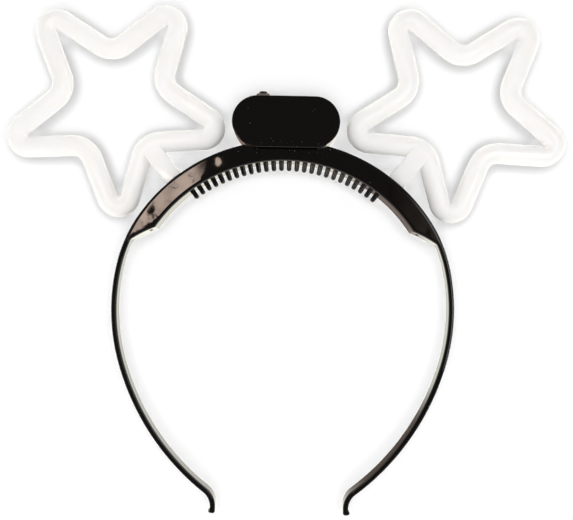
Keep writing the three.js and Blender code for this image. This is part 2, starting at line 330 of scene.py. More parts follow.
def grow(name, tree, values):
    """Run a geometry tree with its inputs set, and keep the result as a plain mesh object."""
    piece = new_object(name, bpy.data.meshes.new(name))
    modifier = piece.modifiers.new(tree.name, "NODES")
    modifier.node_group = tree
    for item in tree.interface.items_tree:
        if item.in_out == "INPUT":
            modifier[item.identifier] = values[item.name]
    bake_modifiers(piece)
    return piece


# Meshes

def new_object(name, mesh):
    """Link a new object at the origin."""
    piece = bpy.data.objects.new(name, mesh)
    bpy.context.scene.collection.objects.link(piece)
    return piece


def new_piece(name, vertices, faces, material=None):
    """Make a mesh object whose faces point outwards."""
    mesh = bpy.data.meshes.new(name)
    mesh.from_pydata([tuple(v) for v in vertices], [], faces)
    if material:
        mesh.materials.append(material)
    piece = new_object(name, mesh)
    bm = bmesh.new()
    bm.from_mesh(mesh)
    bmesh.ops.recalc_face_normals(bm, faces=bm.faces)
    bm.to_mesh(mesh)
    bm.free()
    return piece


def bake_modifiers(piece):
    """Turn a piece's modifiers into its own mesh."""
    depsgraph = bpy.context.evaluated_depsgraph_get()
    mesh = bpy.data.meshes.new_from_object(piece.evaluated_get(depsgraph))
    old = piece.data
    piece.modifiers.clear()
    piece.data = mesh
    mesh.name = piece.name
    bpy.data.meshes.remove(old)
    if not mesh.polygons:
        raise RuntimeError(f"{piece.name} came out empty")


def cut(piece, cutters):
    """Cut other objects out of a piece, and delete them."""
    for cutter in cutters:
        modifier = piece.modifiers.new(cutter.name, "BOOLEAN")
        modifier.operation = "DIFFERENCE"
        modifier.solver = "EXACT"
        modifier.object = cutter
    bake_modifiers(piece)
    for cutter in cutters:
        mesh = cutter.data
        bpy.data.objects.remove(cutter)
        bpy.data.meshes.remove(mesh)


def bevel(piece, width):
    """Round a piece's sharp edges."""
    modifier = piece.modifiers.new("edges", "BEVEL")
    modifier.width = width
    modifier.segments = 2
    modifier.limit_method = "ANGLE"
    modifier.angle_limit = SHARP
    modifier.harden_normals = False
    bake_modifiers(piece)


def shade(piece):
    """Shade a piece smooth, with its sharp turns kept crisp."""
    bm = bmesh.new()
    bm.from_mesh(piece.data)
    bmesh.ops.remove_doubles(bm, verts=bm.verts, dist=WELD)
    for face in bm.faces:
        face.smooth = True
    for edge in bm.edges:
        edge.smooth = edge.is_manifold and edge.calc_face_angle() < CRISP
    bm.to_mesh(piece.data)
    bm.free()


def settle(piece, node, body=BODY):
    """Shade a piece, hang it on the body it rides on, and hide the imported solid it stands for."""
    shade(piece)
    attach(piece, body)
    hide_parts(node)


def skin(rings):
    """Vertices and faces of a skin over equal closed rings, with both ends closed."""
    rings = np.asarray(rings)
    count, sides = rings.shape[:2]
    index = np.arange(count * sides).reshape(count, sides)
    faces = []
    for here, ahead in zip(index[:-1], index[1:]):
        faces.extend(zip(here, np.roll(here, -1), np.roll(ahead, -1), ahead))
    faces.append(tuple(index[0][::-1]))
    faces.append(tuple(index[-1]))
    return rings.reshape(-1, 3), [tuple(int(i) for i in face) for face in faces]


def prism(name, outline, low, high):
    """A straight prism over a flat outline, as a cutter or a blank."""
    rings = [[(x, y, z) for x, y in outline] for z in (low, high)]
    return new_piece(name, *skin(rings))


def polar(radius, turn):
    """Point at a radius and an angle from straight up, about the arch's centre."""
    return np.array((radius * math.sin(turn), ARCH_Y + radius * math.cos(turn)))


def heading_vector(turn):
    """Unit vector at an angle from straight up."""
    return np.array((math.sin(turn), math.cos(turn)))


def bar_outline(middle, along, half_length, half_width):
    """Corners of a rectangle about a point, along a direction."""
    across = np.array((-along[1], along[0]))
    corners = ((-1, -1), (1, -1), (1, 1), (-1, 1))
    return [middle + i * half_length * along + j * half_width * across for i, j in corners]


def arc_points(start, end, steps):
    """Evenly spaced angles from start to end, both included."""
    return np.linspace(start, end, steps + 1)


# Band

# The outer edge below the crown: the shoulder, then radius and final heading of the leg's arcs and its curl
SHOULDER = 59.5 * MM
SHOULDER_STEP = math.radians(69)
SHOULDER_END = math.radians(77)
UPPER_LEG = (84.3 * MM, math.radians(105.7))
LOWER_LEG = (106.3 * MM, math.radians(142.3))
CURL = (-7.4 * MM, math.radians(88))

# Headings between which the crown's depth falls to the leg's, and half the turn that eases a corner
DEPTH_STEP = (math.radians(64.6), math.radians(68.0))
CORNER_EASE = math.radians(0.3)

# The flared run at a leg's end and its round tip
TIP_FLARE = 0.55 * MM
TIP_RUN = 1.6 * MM
TIP_ROUND = 1.1 * MM
FLARE_STEPS = 10
TIP_STEPS = 8

# Rounded edges: steps, largest share of the band's thickness, and the support line beside each
EDGE_STEPS = 7
EDGE_SHARE = 0.47
SUPPORT = 0.25 * MM
SUPPORT_SHARE = 0.4

# The small slot in each slanted end, and the steps of the crown's hollow
SLOT_FROM_CORNER = 2.7 * MM
SLOT_HALF_WIDTH = 0.6 * MM
SLOT_HALF_HEIGHT = 3.0 * MM
HOLLOW_STEPS = 120


def band_arcs(band):
    """Tangent arcs of the outer edge: radius, final heading, section spacing. Negative curls outward."""
    ease = 4 * CORNER_EASE
    return (
        (band.crown_radius, band.corner_angle - ease, 0.9 * MM),
        (band.crown_radius, band.corner_angle, 0.12 * MM),
        (SHOULDER, band.corner_angle + ease, 0.12 * MM),
        (SHOULDER, band.end_angle - ease, 0.25 * MM),
        (SHOULDER, band.end_angle + ease, 0.12 * MM),
        (SHOULDER, SHOULDER_STEP, 0.25 * MM),
        (SHOULDER, SHOULDER_END, 0.8 * MM),
        (*UPPER_LEG, 1.0 * MM),
        (*LOWER_LEG, 1.0 * MM),
        (*CURL, 0.3 * MM),
    )


def eased(distance):
    """Zero below zero and straight above it, with the corner eased."""
    if abs(distance) < CORNER_EASE:
        return (distance + CORNER_EASE) ** 2 / (4 * CORNER_EASE)
    return max(distance, 0.0)


def smoothstep(value, low, high):
    """Smooth step from 0 at low to 1 at high."""
    share = min(max((value - low) / (high - low), 0.0), 1.0)
    return share * share * (3 - 2 * share)


def band_places(band):
    """Places along the right half of the outer edge: point, heading and the furthest heading so far."""
    point = polar(band.crown_radius, 0.0)
    heading = 0.0
    turned = 0.0
    places = [(point, heading, turned)]
    for radius, until, spacing in band_arcs(band):
        centre = point - radius * heading_vector(heading)
        steps = max(1, round(abs(radius * (until - heading)) / spacing))
        for turn in arc_points(heading, until, steps)[1:]:
            turned = max(turned, turn)
            places.append((centre + radius * heading_vector(turn), turn, turned))
        point, heading = places[-1][:2]
    return places


def tip_sections(last):
    """Sections past the last one of the leg: the flared run and the round tip."""
    point, heading, thickness, depth = last[:4]
    ahead = heading_vector(heading + math.pi / 2)
    ends = []
    for share in arc_points(0.0, 1.0, FLARE_STEPS)[1:]:
        ends.append((TIP_RUN * share, TIP_FLARE * smoothstep(share, 0.0, 1.0), 0.0))
    for turn in arc_points(0.0, NEARLY_SQUARE, TIP_STEPS)[1:]:
        ends.append((TIP_RUN + TIP_ROUND * math.sin(turn), TIP_FLARE, TIP_ROUND * (1 - math.cos(turn))))
    return [(point + run * ahead, heading, thickness, depth, 1.0, flare, inset) for run, flare, inset in ends]


def band_sections(band):
    """Sections of the right half: place, heading, thickness, depth, share of leg, flare and inset."""
    crown_depth = BAND_HIGH.z
    sections = []
    for place, turn, most in band_places(band):
        slant = eased(most - band.corner_angle) - eased(most - band.end_angle)
        slant /= band.end_angle - band.corner_angle
        thickness = band.crown_thickness + slant * (band.leg_thickness - band.crown_thickness)
        leg = smoothstep(most, *DEPTH_STEP)
        depth = crown_depth + leg * (band.leg_depth - crown_depth)
        sections.append((place, turn, thickness, depth, leg, 0.0, 0.0))
    return sections + tip_sections(sections[-1])


def section_corners(section, band):
    """Rounded corners of a section: centre across and up, then the rounding's width and height."""
    thickness, depth, leg, flare, inset = section[2:]
    high, low = flare - inset, inset - thickness
    top, bottom = BAND_HIGH.z - inset, BAND_HIGH.z - depth + inset
    most = EDGE_SHARE * (high - low)
    crown_edges = (band.outer_edge, band.outer_drop, band.inner_edge, band.inner_drop)
    outer, outer_drop, inner, inner_drop = (
        min(edge + leg * (band.leg_edge - edge), most) for edge in crown_edges)
    back = min(band.back_edge, most)
    return (
        (high - outer, top - outer_drop, outer, outer_drop),
        (low + inner, top - inner_drop, inner, inner_drop),
        (low + back, bottom + back, back, back),
        (high - back, bottom + back, back, back),
    )


def band_ring(section, band):
    """Rounded rectangle across the band, with a support line beside each rounding."""
    roundings = []
    for quarter, (across, z, wide, tall) in enumerate(section_corners(section, band)):
        turns = arc_points(0.0, math.pi / 2, EDGE_STEPS) + quarter * math.pi / 2
        roundings.append([np.array((across + wide * math.cos(t), z + tall * math.sin(t))) for t in turns])
    ring = []
    for rounding, following in zip(roundings, roundings[1:] + roundings[:1]):
        here = rounding[-1]
        run = following[0] - here
        share = min(SUPPORT_SHARE, SUPPORT / max(np.linalg.norm(run), WELD))
        ring += [*rounding, here + share * run, here + (1 - share) * run]
    place, heading = section[:2]
    out = heading_vector(heading)
    return [(*(place + across * out), z) for across, z in ring]


def slant_line(band):
    """Inner corner of the right slanted end and the direction of its face, about the arch's centre."""
    corner = (band.crown_radius - band.crown_thickness) * heading_vector(band.corner_angle)
    centre = (band.crown_radius - SHOULDER) * heading_vector(band.corner_angle)
    foot = centre + (SHOULDER - band.leg_thickness) * heading_vector(band.end_angle)
    return corner, (foot - corner) / np.linalg.norm(foot - corner)


def crown_hollow(band, clearance):
    """Outline of the crown's hollow between its walls, drawn in by a clearance."""
    inner = band.crown_radius - band.crown_thickness + band.wall + clearance
    outer = band.crown_radius - band.leg_thickness - clearance
    corner, along = slant_line(band)
    start = corner + (band.wall + clearance) * np.array((-along[1], along[0]))
    middle = start @ along
    ends = []
    for radius in (inner, outer):
        run = math.sqrt(middle ** 2 - start @ start + radius ** 2) - middle
        ends.append(math.atan2(*(start + run * along)))
    outline = [polar(outer, turn) for turn in arc_points(-ends[1], ends[1], HOLLOW_STEPS)]
    outline += [polar(inner, turn) for turn in arc_points(ends[0], -ends[0], HOLLOW_STEPS)]
    return outline


def clip_slot(band, side):
    """Cutter for the small slot in a slanted end."""
    corner, along = slant_line(band)
    mirror = np.array((side, 1.0))
    place = (corner + SLOT_FROM_CORNER * along) * mirror + np.array((0.0, ARCH_Y))
    middle_z = BAND_HIGH.z / 2
    outline = bar_outline(place, along * mirror, SLOT_HALF_WIDTH, band.wall + OVER)
    return prism("clip_slot", outline, middle_z - SLOT_HALF_HEIGHT, middle_z + SLOT_HALF_HEIGHT)


def post_socket(star, side, crown_radius):
    """Cutter for the socket that a star's post plugs into."""
    along = heading_vector(side * star.lean)
    middle = polar((star.post_foot + crown_radius + OVER) / 2, side * star.lean)
    reach = (crown_radius + OVER - star.post_foot) / 2
    outline = bar_outline(middle, along, reach, star.post_width / 2 + GAP)
    middle_z = BAND_HIGH.z / 2
    half = star.post_depth / 2 + GAP
    return prism("post_socket", outline, middle_z - half, middle_z + half)


def stadium(inset):
    """Outline of the battery box, straight sides and round ends, drawn in by an inset."""
    radius = (LID_HIGH.y - LID_LOW.y) / 2
    reach = LID_HIGH.x - radius
    outline = []
    for side, start in ((1, -math.pi / 2), (-1, math.pi / 2)):
        for turn in arc_points(start, start + math.pi, BOX_END_STEPS):
            x = side * reach + (radius - inset) * math.cos(turn)
            outline.append((x, BOX_CENTRE_Y + (radius - inset) * math.sin(turn)))
    return outline


def box_recess():
    """Cutter that clears room for the battery box."""
    return prism("box_recess", stadium(-GAP), -OVER, LID_HIGH.z)


class HEADBAND_OT_band(bpy.types.Operator):
    """Mould the crown and the legs as one hollow piece"""

    bl_idname = "headband.band"
    bl_label = "Moulded band"

    def execute(self, context):
        settings = context.scene.headband
        band, star = settings.band, settings.star
        right = band_sections(band)
        left = [((-place[0], place[1]), -turn, *rest) for (place, turn, *rest) in reversed(right[1:])]
        rings = [band_ring(section, band) for section in left + right]
        piece = new_piece("band_moulding", *skin(rings), black_plastic())
        cutters = [prism("hollow", crown_hollow(band, 0.0), -OVER, BAND_HIGH.z - band.wall), box_recess()]
        for side in (-1, 1):
            cutters.append(clip_slot(band, side))
            cutters.append(post_socket(star, side, band.crown_radius))
        cut(piece, cutters)
        settle(piece, "band")
        return {"FINISHED"}


# Comb

# How far a tooth's front falls away to its sides and the rounding of its edges, for a half width of one
CROWNING = 0.25
TOOTH_ROUND = 0.3

# Rings along a tooth and points round it
TOOTH_RINGS = 26
TOOTH_SIDES = 56


def comb_tooth(tree, sizes):
    """One tooth: a line from root to tip, swept with a rounded section whose radius follows the taper."""
    line = result(tree, "GeometryNodeCurvePrimitiveLine", inputs={
        "Start": sizes["Root"], "End": sizes["Tip"]})
    path = upright_curve(tree, result(tree, "GeometryNodeResampleCurve", inputs={
        "Curve": line, "Count": TOOTH_RINGS}))
    share = add_node(tree, "GeometryNodeSplineParameter").outputs["Factor"]
    taper = map_range(tree, share, (0.0, 1.0), (sizes["Half width"], sizes["Half tip width"]))
    past = map_range(tree, share, (sizes["Tip start"], 1.0), (0.0, 1.0))
    dome = maths(tree, "SQRT", maths(tree, "SUBTRACT", 1.0, maths(tree, "POWER", past, 2.0)))
    section = rounded_rectangle(tree, 2.0, maths(tree, "MULTIPLY", sizes["Aspect"], 2.0), TOOTH_ROUND)
    even = result(tree, "GeometryNodeResampleCurve", inputs={"Curve": section, "Count": TOOTH_SIDES})
    # The front and the back are crowned, so that each tooth carries a streak of light
    spot = add_node(tree, "ShaderNodeSeparateXYZ", inputs={0: result(tree, "GeometryNodeInputPosition")})
    fall = maths(tree, "MULTIPLY", maths(tree, "POWER", spot.outputs["X"], 2.0), -CROWNING)
    move = maths(tree, "MULTIPLY", fall, maths(tree, "SIGN", spot.outputs["Y"]))
    crowned = result(tree, "GeometryNodeSetPosition", inputs={
        "Geometry": even, "Offset": combine_xyz(tree, Y=move)})
    return result(tree, "GeometryNodeCurveToMesh", inputs={
        "Curve": path, "Profile Curve": crowned, "Scale": maths(tree, "MULTIPLY", taper, dome),
        "Fill Caps": True})


def comb_tree():
    """Geometry tree of the comb: tapered teeth with round tips, set along the inside of the crown."""
    tree, sizes = new_geometry_tree("Comb teeth", {
        "Int": ("Teeth",),
        "Float": ("Pitch", "Wall radius", "Half width", "Half tip width", "Tip start", "Aspect"),
        "Vector": ("Arch", "Root", "Tip"),
        "Material": ("Material",),
    })
    # The middle of the row lies straight up, and each tooth points at the arch's centre
    middle = maths(tree, "MULTIPLY", maths(tree, "SUBTRACT", sizes["Teeth"], 1.0), 0.5)
    from_middle = maths(tree, "SUBTRACT", result(tree, "GeometryNodeInputIndex"), middle)
    turn = maths(tree, "MULTIPLY", from_middle, sizes["Pitch"])
    spoke = combine_xyz(tree, X=maths(tree, "SINE", turn), Y=maths(tree, "COSINE", turn))
    reach = vector_maths(tree, "SCALE", spoke, Scale=sizes["Wall radius"])
    points = result(tree, "GeometryNodePoints", inputs={
        "Count": sizes["Teeth"], "Position": vector_maths(tree, "ADD", reach, sizes["Arch"])})
    facing = combine_xyz(tree, Z=maths(tree, "MULTIPLY", turn, -1.0))
    row = result(tree, "GeometryNodeInstanceOnPoints", inputs={
        "Points": points, "Instance": comb_tooth(tree, sizes),
        "Rotation": result(tree, "FunctionNodeEulerToRotation", inputs={"Euler": facing})})
    close_geometry_tree(tree, row, sizes["Material"])
    return tree


class HEADBAND_OT_comb(bpy.types.Operator):
    """Set the comb's teeth along the inside of the crown"""

    bl_idname = "headband.comb"
    bl_label = "Comb"

    def execute(self, context):
        settings = context.scene.headband
        comb, band = settings.comb, settings.band
        root = band.wall / 2
        span = comb.reach + root
        piece = grow("comb_teeth", comb_tree(), {
            "Teeth": comb.teeth,
            "Pitch": comb.pitch,
            "Wall radius": band.crown_radius - band.crown_thickness,
            "Arch": (0.0, ARCH_Y, BAND_HIGH.z / 2),
            "Root": (0.0, root, 0.0),
            "Tip": (0.0, -comb.reach, 0.0),
            "Half width": comb.width / 2,
            "Half tip width": comb.tip_width / 2,
            "Tip start": 1 - comb.tip_width / 2 / span,
            "Aspect": comb.depth / comb.width,
            "Material": black_plastic(),
        })
        settle(piece, "band")
        return {"FINISHED"}


# Back plate

PLATE_EDGE = 0.2 * MM


class HEADBAND_OT_crown_back(bpy.types.Operator):
    """Close the back of the crown with a plain plate"""

    bl_idname = "headband.crown_back"
    bl_label = "Crown back plate"

    def execute(self, context):
        band = context.scene.headband.band
        plate = prism("crown_back_plate", crown_hollow(band, GAP), PLATE_LOW.z, PLATE_HIGH.z)
        plate.data.materials.append(black_plastic())
        cut(plate, [box_recess()])
        bevel(plate, PLATE_EDGE)
        settle(plate, "crown_back")
        return {"FINISHED"}


# Battery box

# How far the cutter of the switch's opening reaches to each side of the lid's top edge
OPENING_REACH = 2.6 * MM

# Steps of the roundings along the parting line, the base's back edge and the lid's front edge
SEAM_STEPS = 3
BASE_STEPS = 5
LID_STEPS = 8


def rounded_levels(edge, steps, inset, z, turn_from):
    """Levels of a quarter rounding, as pairs of inset and height about its centre."""
    return [(inset - edge * math.cos(turn), z + edge * math.sin(turn))
            for turn in arc_points(turn_from, turn_from + math.pi / 2, steps)]


def box_half(name, levels):
    """A half of the battery box, lofted through levels of inset and height, closed at both ends."""
    rings = [[(x, y, z) for x, y in stadium(inset)] for inset, z in levels]
    return new_piece(name, *skin(rings), black_plastic())


def base_levels(box):
    """From the floor inside, over the rim, down the outside to the back face."""
    edge, lip = box.base_edge, box.seam_edge
    low, high = BASE_LOW.z, BASE_HIGH.z
    levels = [(box.wall + 2 * SUPPORT, low + box.wall), (box.wall, low + box.wall), (box.wall, high)]
    levels += rounded_levels(lip, SEAM_STEPS, lip, high - lip, 0.0)[::-1]
    levels += [(0.0, high - lip - SUPPORT), (0.0, low + edge + SUPPORT)]
    levels += rounded_levels(edge, BASE_STEPS, edge, low + edge, -math.pi / 2)[::-1]
    levels.append((edge + SUPPORT, low))
    return levels


def lid_levels(box):
    """From the ceiling inside, over the rim, up the outside to the front face."""
    edge, lip = box.lid_edge, box.seam_edge
    low, high = LID_LOW.z, LID_HIGH.z
    levels = [(box.wall + 2 * SUPPORT, high - box.wall), (box.wall, high - box.wall), (box.wall, low)]
    levels += rounded_levels(lip, SEAM_STEPS, lip, low + lip, -math.pi / 2)
    levels += [(0.0, low + lip + SUPPORT), (0.0, high - edge - SUPPORT)]
    levels += rounded_levels(edge, LID_STEPS, edge, high - edge, 0.0)
    levels.append((edge + SUPPORT, high))
    return levels


def switch_opening():
    """Cutter for the opening in the lid's top wall that the switch sits in."""
    middle = np.array(((SWITCH_LOW.x + SWITCH_HIGH.x) / 2, LID_HIGH.y))
    half = (SWITCH_HIGH.x - SWITCH_LOW.x) / 2 + GAP
    outline = bar_outline(middle, np.array((1.0, 0.0)), half, OPENING_REACH)
    return prism("switch_opening", outline, BASE_HIGH.z, SWITCH_HIGH.z + GAP)


class HEADBAND_OT_battery_box(bpy.types.Operator):
    """Make the two halves of the battery box, with the parting line between them"""

    bl_idname = "headband.battery_box"
    bl_label = "Battery box"

    def execute(self, context):
        box = context.scene.headband.box
        base = box_half("battery_box_base", base_levels(box))
        settle(base, "battery_base")
        lid = box_half("battery_box_lid", lid_levels(box))
        cut(lid, [switch_opening()])
        settle(lid, "battery_lid")
        return {"FINISHED"}


# Switch

# Edges of the cover and the body, and the clearance between the two
SHEET_EDGE = 0.06 * MM
BODY_EDGE = 0.1 * MM
COVER_FIT = 0.05 * MM
COVER_STEPS = 4

STAKE_FLATNESS = 0.4
STAKE_SIDES = 20

# Steps of the plunger's edge, and the share of its radius where its flat ends close
PLUNGER_STEPS = 6
FLAT_SHARE = 0.5


def switch_middle():
    """Middle of the switch across the box and its height above the floor."""
    return (SWITCH_LOW.x + SWITCH_HIGH.x) / 2, (SWITCH_LOW.z + SWITCH_HIGH.z) / 2


def lathe(name, profile, material=None):
    """Turn a profile of radius and height about the switch's axis, which runs along Y."""
    x, z = switch_middle()
    turns = np.linspace(0.0, 2 * math.pi, LATHE_SIDES, endpoint=False)
    rings = [[(x + r * math.cos(t), y, z + r * math.sin(t)) for t in turns] for r, y in profile]
    return new_piece(name, *skin(rings), material)


def square_ring(half, corner, y):
    """Rounded square about the switch's axis at a height along it."""
    x, z = switch_middle()
    ring = []
    for quarter, (i, j) in enumerate(((1, 1), (-1, 1), (-1, -1), (1, -1))):
        for turn in arc_points(0.0, math.pi / 2, COVER_STEPS) + quarter * math.pi / 2:
            across = i * (half - corner) + corner * math.cos(turn)
            up = j * (half - corner) + corner * math.sin(turn)
            ring.append((x + across, y, z + up))
    return ring


def cover_form(name, switch, inset, foot):
    """The cover's bevelled cap as a solid, drawn in by an inset."""
    half = (SWITCH_HIGH.x - SWITCH_LOW.x) / 2 - inset
    top = SWITCH_HIGH.y - inset
    # The inside of the bevel lies a little lower than the sheet is thick
    knee = top - switch.bevel_drop + inset * switch.bevel / switch.bevel_drop
    levels = ((half, foot), (half, knee), (half - switch.bevel, top))
    return new_piece(name, *skin([square_ring(size, switch.corner, y) for size, y in levels]))


def stake_tree():
    """Geometry tree of the four plastic stake heads that hold the cover."""
    tree, sizes = new_geometry_tree("Stake heads", {
        "Float": ("Spacing", "Radius"),
        "Vector": ("Middle", "Flatness", "Lay"),
        "Material": ("Material",),
    })
    grid = result(tree, "GeometryNodeMeshGrid", inputs={
        "Size X": sizes["Spacing"], "Size Y": sizes["Spacing"], "Vertices X": 2, "Vertices Y": 2})
    head = result(tree, "GeometryNodeMeshUVSphere", inputs={
        "Segments": STAKE_SIDES, "Rings": STAKE_SIDES // 2, "Radius": sizes["Radius"]})
    four = result(tree, "GeometryNodeInstanceOnPoints", inputs={
        "Points": grid, "Instance": head, "Scale": sizes["Flatness"]})
    close_geometry_tree(tree, moved(tree, four, sizes["Lay"], sizes["Middle"]), sizes["Material"])
    return tree


def bend_cover(switch, bore):
    """The metal cover, open below, with the hole for the plunger."""
    top = SWITCH_HIGH.y
    foot = top - switch.bevel_drop - switch.skirt
    cover = cover_form("switch_cover", switch, 0.0, foot)
    cover.data.materials.append(tinned_steel())
    inside = cover_form("inside", switch, switch.sheet, foot - OVER)
    hole = lathe("hole", [(bore, top - 2 * switch.bevel_drop), (bore, top + OVER)])
    cut(cover, [inside, hole])
    bevel(cover, SHEET_EDGE)
    settle(cover, "switch_frame")


def mould_body(switch, bore):
    """The plastic body inside the cover, with the well for the plunger."""
    body = cover_form("switch_body", switch, switch.sheet + COVER_FIT, SWITCH_LOW.y)
    body.data.materials.append(black_nylon())
    well = lathe("well", [(bore, PLUNGER_LOW.y - GAP), (bore, SWITCH_HIGH.y + OVER)])
    cut(body, [well])
    bevel(body, BODY_EDGE)
    settle(body, "switch_frame")


def set_stakes(switch):
    """The stake heads in the corners of the cover's top."""
    x, z = switch_middle()
    half = (SWITCH_HIGH.x - SWITCH_LOW.x) / 2
    stakes = grow("switch_stakes", stake_tree(), {
        "Spacing": 2 * (half - switch.bevel - switch.stake),
        "Radius": switch.stake,
        "Middle": (x, SWITCH_HIGH.y, z),
        "Flatness": (1.0, 1.0, STAKE_FLATNESS),
        "Lay": (math.pi / 2, 0.0, 0.0),
        "Material": black_nylon(),
    })
    settle(stakes, "switch_frame")


def turn_plunger(switch, radius):
    """The round plunger with its softened top edge."""
    edge = switch.plunger_round
    low, high = PLUNGER_LOW.y, PLUNGER_HIGH.y
    profile = [(radius * FLAT_SHARE, low), (radius, low)]
    profile += [(radius - edge + edge * math.cos(t), high - edge + edge * math.sin(t))
                for t in arc_points(0.0, NEARLY_SQUARE, PLUNGER_STEPS)]
    profile.append((radius * FLAT_SHARE, high))
    plunger = lathe("switch_button", profile, black_nylon())
    settle(plunger, "switch_plunger", PLUNGER_BODY)


class HEADBAND_OT_switch(bpy.types.Operator):
    """Build the push switch: plastic body, bent metal cover, stake heads and the plunger that moves"""

    bl_idname = "headband.switch"
    bl_label = "Push switch"

    def execute(self, context):
        switch = context.scene.headband.switch
        plunger_radius = (PLUNGER_HIGH.x - PLUNGER_LOW.x) / 2
        bore = plunger_radius + GAP / 2
        bend_cover(switch, bore)
        mould_body(switch, bore)
        set_stakes(switch)
        turn_plunger(switch, plunger_radius)
        return {"FINISHED"}


# Stars

STAR_POINTS = 5
BEND_STEPS = 22


def star_tube(tree, sizes):
    """The closed light tube, bent at its tips and valleys."""
    path = add_node(tree, "GeometryNodeCurveStar", inputs={
        "Points": sizes["Points"],
        "Inner Radius": sizes["Valley radius"], "Outer Radius": sizes["Tip radius"]})
    bend = result(tree, "GeometryNodeSwitch", {"input_type": "FLOAT"}, {
        "Switch": path.outputs["Outer Points"], "False": sizes["Valley bend"], "True": sizes["Tip bend"]})
    bent = result(tree, "GeometryNodeFilletCurve", {"mode": "POLY"}, {
        "Curve": path.outputs["Curve"], "Count": BEND_STEPS, "Radius": bend})
    circle = result(tree, "GeometryNodeCurvePrimitiveCircle", inputs={
        "Resolution": TUBE_SIDES, "Radius": sizes["Tube radius"]})
    return result(tree, "GeometryNodeCurveToMesh", inputs={
        "Curve": upright_curve(tree, bent), "Profile Curve": circle})


def star_post(tree, sizes):
    """The post, a straight bar with softened edges."""
    line = result(tree, "GeometryNodeCurvePrimitiveLine", inputs={
        "Start": sizes["Post foot"], "End": sizes["Post head"]})
    section = rounded_rectangle(tree, sizes["Post width"], sizes["Post depth"], sizes["Post edge"])
    return result(tree, "GeometryNodeCurveToMesh", inputs={
        "Curve": upright_curve(tree, line), "Profile Curve": section, "Fill Caps": True})


def star_tree():
    """Geometry tree of a star: a closed light tube bent at five tips and five valleys, joined to its post."""
    tree, sizes = new_geometry_tree("Star light tube", {
        "Int": ("Points",),
        "Float": ("Tip radius", "Valley radius", "Tip bend", "Valley bend", "Tube radius", "Post width",
                  "Post depth", "Post edge"),
        "Vector": ("Post foot", "Post head", "Turn", "Middle"),
        "Material": ("Material",),
    })
    joined = add_node(tree, "GeometryNodeMeshBoolean", {"operation": "UNION", "solver": "EXACT"})
    for part in (star_tube(tree, sizes), star_post(tree, sizes)):
        tree.links.new(part, joined.inputs["Mesh 2"])
    placed = moved(tree, joined.outputs[0], sizes["Turn"], sizes["Middle"])
    close_geometry_tree(tree, placed, sizes["Material"])
    return tree


class HEADBAND_OT_stars(bpy.types.Operator):
    """Bend the two star light tubes and join each to its post"""

    bl_idname = "headband.stars"
    bl_label = "Star light tubes"

    def execute(self, context):
        star = context.scene.headband.star
        tree = star_tree()
        milk = milky_plastic()
        for name, node, side in (("star_tube_left", "star_left", -1), ("star_tube_right", "star_right", 1)):
            piece = grow(name, tree, {
                "Points": STAR_POINTS,
                "Tip radius": star.tip_radius,
                "Valley radius": star.valley_radius,
                "Tip bend": star.tip_bend,
                "Valley bend": star.valley_bend,
                "Tube radius": star.tube_radius,
                "Post width": star.post_width,
                "Post depth": star.post_depth,
                "Post edge": star.post_edge,
                # The star's first tip points along X before it is turned, so the post lies behind it
                "Post foot": (star.post_foot - star.distance, 0.0, 0.0),
                "Post head": (star.post_head - star.distance, 0.0, 0.0),
                "Turn": (0.0, 0.0, math.pi / 2 - side * star.lean),
                "Middle": (*polar(star.distance, side * star.lean), BAND_HIGH.z / 2),
                "Material": milk,
            })
            # White tubes would brighten the floor beside them, and the soft shade there would be lost
            piece.visible_diffuse = False
            settle(piece, node)
        return {"FINISHED"}


# Finishes

WHITE = (1.0, 1.0, 1.0, 1.0)
BLACK = (0.0, 0.0, 0.0, 1.0)


def per(millimetres):
    """Texture scale for a feature of this size."""
    return 1 / (millimetres * MM)


def new_finish(name):
    """A new material with its tree, its shader and its object coordinates."""
    material = bpy.data.materials.new(name)
    material.use_nodes = True
    tree = material.node_tree
    coordinates = add_node(tree, "ShaderNodeTexCoord").outputs["Object"]
    return material, tree, tree.nodes["Principled BSDF"], coordinates


def noise(tree, place, millimetres, detail):
    """Noise with features of this size."""
    return result(tree, "ShaderNodeTexNoise", inputs={
        "Vector": place, "Scale": per(millimetres), "Detail": detail})


def mixed(tree, share, first, second):
    """Two colours mixed by a share of the second."""
    node = add_node(tree, "ShaderNodeMix", {"data_type": "RGBA"}, {0: share, 6: first, 7: second})
    return node.outputs[2]


def relief(tree, height, millimetres, strength=1.0):
    """Normal of a fine relief of this depth."""
    return result(tree, "ShaderNodeBump", inputs={
        "Strength": strength, "Distance": millimetres * MM, "Height": height})


def settled_dust(tree, place):
    """Specks of dust about 0.2 mm across: many along the foot of the battery box's lid, few elsewhere."""
    axes = add_node(tree, "ShaderNodeSeparateXYZ", inputs={0: place})
    from_foot = maths(tree, "ABSOLUTE", maths(tree, "SUBTRACT", axes.outputs["Y"], LID_LOW.y))
    close = map_range(tree, from_foot, (0.4 * MM, 5.0 * MM), (1.0, 0.0))
    from_middle = maths(tree, "ABSOLUTE", axes.outputs["X"])
    within = map_range(tree, from_middle, (14.0 * MM, 24.0 * MM), (1.0, 0.0))
    rare = map_range(tree, maths(tree, "MULTIPLY", close, within), (0.0, 1.0), (0.985, 0.3))
    specks = add_node(tree, "ShaderNodeTexVoronoi", inputs={"Vector": place, "Scale": per(1.0)})
    dot = map_range(tree, specks.outputs["Distance"], (0.07, 0.15), (1.0, 0.0))
    chance = result(tree, "ShaderNodeSeparateColor", inputs={"Color": specks.outputs["Color"]})
    return maths(tree, "MULTIPLY", dot, map_range(tree, chance, (rare, 1.0), (0.0, 1.0)))


